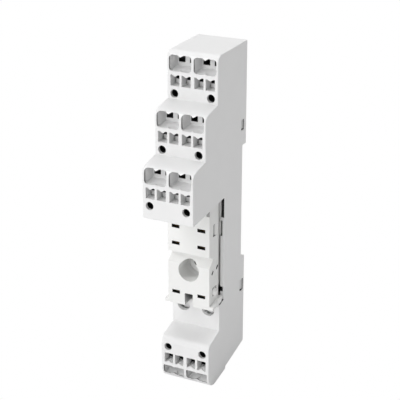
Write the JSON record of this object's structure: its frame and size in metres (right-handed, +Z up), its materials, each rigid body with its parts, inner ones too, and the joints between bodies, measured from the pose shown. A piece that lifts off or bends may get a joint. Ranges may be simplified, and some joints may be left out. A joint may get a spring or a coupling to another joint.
{
  "type": "relay socket",
  "caption": "Slim stepped relay socket with push-in wire entries, a plug-in seat for a relay and a sprung latch for a mounting rail.",
  "frame": {"origin": "centre of the rail seat, on the face that meets the mounting rail", "axes": "+X across the width, +Y towards the mounting rail, +Z up along the socket's length"},
  "size_m": [0.0158, 0.0344, 0.1019],
  "materials": {
    "housing": "fine matt moulded polyamide, light grey",
    "cover": "fine matt moulded polyamide, light grey",
    "carrier": "fine matt moulded polyamide, light grey",
    "latch": "matt moulded polyamide, black",
    "contact_metal": "stamped copper alloy strip",
    "spring_steel": "stainless spring steel"
  },
  "bodies": {
    "socket": {"front_housing": "housing", "rear_cover": "cover", "relay_carrier": "carrier", "contact_bar_1": "contact_metal", "contact_bar_2": "contact_metal", "contact_bar_3": "contact_metal", "contact_bar_4": "contact_metal", "contact_bar_5": "contact_metal", "contact_bar_6": "contact_metal", "contact_bar_7": "contact_metal", "contact_bar_8": "contact_metal", "clamp_spring_1_1": "spring_steel", "clamp_spring_1_2": "spring_steel", "clamp_spring_2_1": "spring_steel", "clamp_spring_2_2": "spring_steel", "clamp_spring_3_1": "spring_steel", "clamp_spring_3_2": "spring_steel", "clamp_spring_4_1": "spring_steel", "clamp_spring_4_2": "spring_steel", "clamp_spring_5_1": "spring_steel", "clamp_spring_5_2": "spring_steel", "clamp_spring_6_1": "spring_steel", "clamp_spring_6_2": "spring_steel", "clamp_spring_7_1": "spring_steel", "clamp_spring_7_2": "spring_steel", "clamp_spring_8_1": "spring_steel", "clamp_spring_8_2": "spring_steel", "latch_spring": "spring_steel"},
    "latch": {"rail_latch": "latch"}
  },
  "joints": [
    {"name": "latch_pull", "type": "slide", "parent": "socket", "child": "latch", "axis": [0, 0, -1], "range_m": [0, 0.003], "stiffness_N_per_m": 1500, "springref_m": -0.002, "deforming": ["latch_spring"]}
  ]
}
